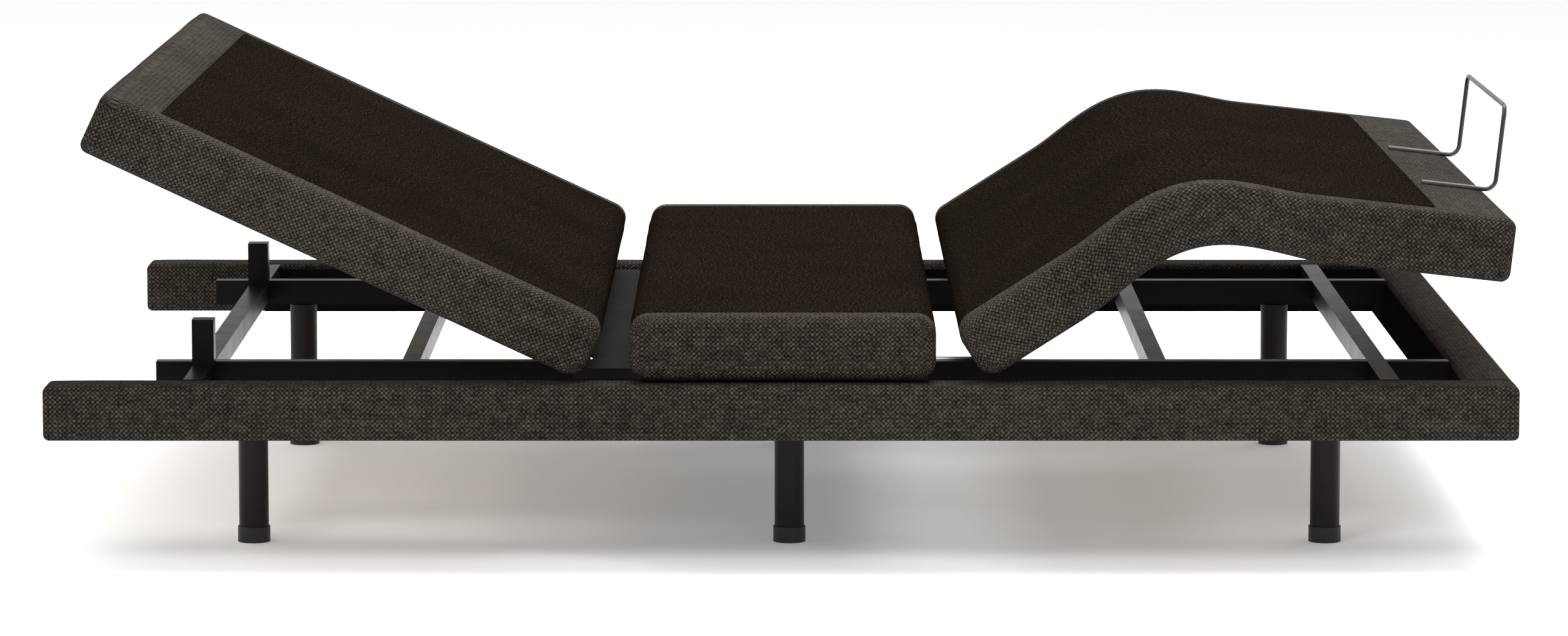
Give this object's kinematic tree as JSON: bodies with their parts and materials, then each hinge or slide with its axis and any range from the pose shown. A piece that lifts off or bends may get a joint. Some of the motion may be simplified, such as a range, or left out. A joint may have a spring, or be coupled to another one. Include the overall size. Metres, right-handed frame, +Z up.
{
  "type": "adjustable bed base",
  "caption": "Upholstered adjustable bed base on round legs, with lifting head and leg sections, electric drives and a mattress retainer.",
  "frame": {"origin": "centre of the overall length and width, on the floor, in the pose shown", "axes": "+X towards the foot end, +Y towards the sleeper's left, +Z up"},
  "size_m": [2.0532, 1.52, 0.6589],
  "materials": {
    "upholstery": "coarse basket weave, dark taupe grey",
    "deck_fabric": "dense near-black fabric, matt",
    "plywood": "raw plywood",
    "black_steel": "black gloss powder coat",
    "pan_steel": "dark grey satin coat",
    "leg_enamel": "dark brown-black satin coat",
    "wire_steel": "dark satin coat",
    "bright_steel": "bright turned steel",
    "black_plastic": "moulded black plastic"
  },
  "bodies": {
    "base": {"side_rail_right": "upholstery", "side_rail_left": "upholstery", "foot_rail": "upholstery", "rail_liner_right": "black_steel", "rail_liner_left": "black_steel", "rail_liner_foot": "black_steel", "main_tube_right": "black_steel", "main_tube_left": "black_steel", "cross_tubes": "black_steel", "outrigger_tubes": "black_steel", "mid_tubes": "black_steel", "drive_tubes": "black_steel", "head_posts": "black_steel", "leg_head_right": "leg_enamel", "leg_head_left": "leg_enamel", "leg_mid_right": "leg_enamel", "leg_mid_left": "leg_enamel", "leg_foot_right": "leg_enamel", "leg_foot_left": "leg_enamel", "leg_caps": "black_plastic", "seat_pan": "pan_steel", "seat_stands": "black_steel", "seat_board": "plywood", "seat_pad": "upholstery", "head_brackets": "black_steel", "thigh_brackets": "black_steel", "hinge_pins": "bright_steel", "drive_clevises": "black_steel", "drive_pins": "bright_steel", "control_box": "black_plastic", "power_inlet": "black_plastic"},
    "head_section": {"head_board": "plywood", "head_side_tubes": "black_steel", "head_cross_tubes": "black_steel", "head_arms": "black_steel", "head_crank": "black_steel", "head_crank_pin": "bright_steel", "head_pad": "upholstery"},
    "thigh_section": {"thigh_board": "plywood", "thigh_side_tubes": "black_steel", "thigh_cross_tubes": "black_steel", "thigh_arms": "black_steel", "thigh_crank": "black_steel", "thigh_crank_pin": "bright_steel", "thigh_pad": "upholstery", "knee_ears": "black_steel", "knee_pins": "bright_steel"},
    "calf_section": {"calf_board": "plywood", "calf_side_tubes": "black_steel", "calf_cross_tubes": "black_steel", "calf_ears": "black_steel", "calf_pad": "upholstery", "retainer_sleeves": "wire_steel", "retainer_bar": "wire_steel"},
    "head_motor": {"head_motor": "black_plastic"},
    "head_rod": {"head_rod": "bright_steel"},
    "leg_motor": {"leg_motor": "black_plastic"},
    "leg_rod": {"leg_rod": "bright_steel"}
  },
  "joints": [
    {"name": "head_lift", "type": "hinge", "parent": "base", "child": "head_section", "pos_m": [-0.29088, 0, 0.27], "axis": [0, 1, 0], "range_deg": [-25, 35]},
    {"name": "thigh_lift", "type": "hinge", "parent": "base", "child": "thigh_section", "pos_m": [0.27412, 0, 0.27], "axis": [0, -1, 0], "range_deg": [-32.5, 12.5]},
    {"name": "knee_fold", "type": "hinge", "parent": "thigh_section", "child": "calf_section", "pos_m": [0.55938, 0, 0.4541], "axis": [0, 1, 0], "range_deg": [-38.9, 15]},
    {"name": "head_drive_tilt", "type": "hinge", "parent": "base", "child": "head_motor", "pos_m": [0.13942, 0.07, 0.2], "axis": [0, -1, 0], "range_deg": [-1.5, 1.5]},
    {"name": "head_drive_extend", "type": "slide", "parent": "head_motor", "child": "head_rod", "axis": [-1, 0, 0], "range_m": [-0.032, 0.043]},
    {"name": "leg_drive_tilt", "type": "hinge", "parent": "base", "child": "leg_motor", "pos_m": [-0.16058, -0.07, 0.2], "axis": [0, -1, 0], "range_deg": [-1.5, 1.5]},
    {"name": "leg_drive_extend", "type": "slide", "parent": "leg_motor", "child": "leg_rod", "axis": [1, 0, 0.0024], "range_m": [-0.042, 0.018]}
  ],
  "couplings": [
    {"joint": "knee_fold", "follows": "thigh_lift", "ratio": 1.1938},
    {"joint": "head_drive_tilt", "follows": "head_lift", "ratio": -0.0132},
    {"joint": "head_drive_extend", "follows": "head_lift", "m_per_rad": 0.0668},
    {"joint": "leg_drive_tilt", "follows": "thigh_lift", "ratio": -0.0004},
    {"joint": "leg_drive_extend", "follows": "thigh_lift", "m_per_rad": 0.06868}
  ]
}
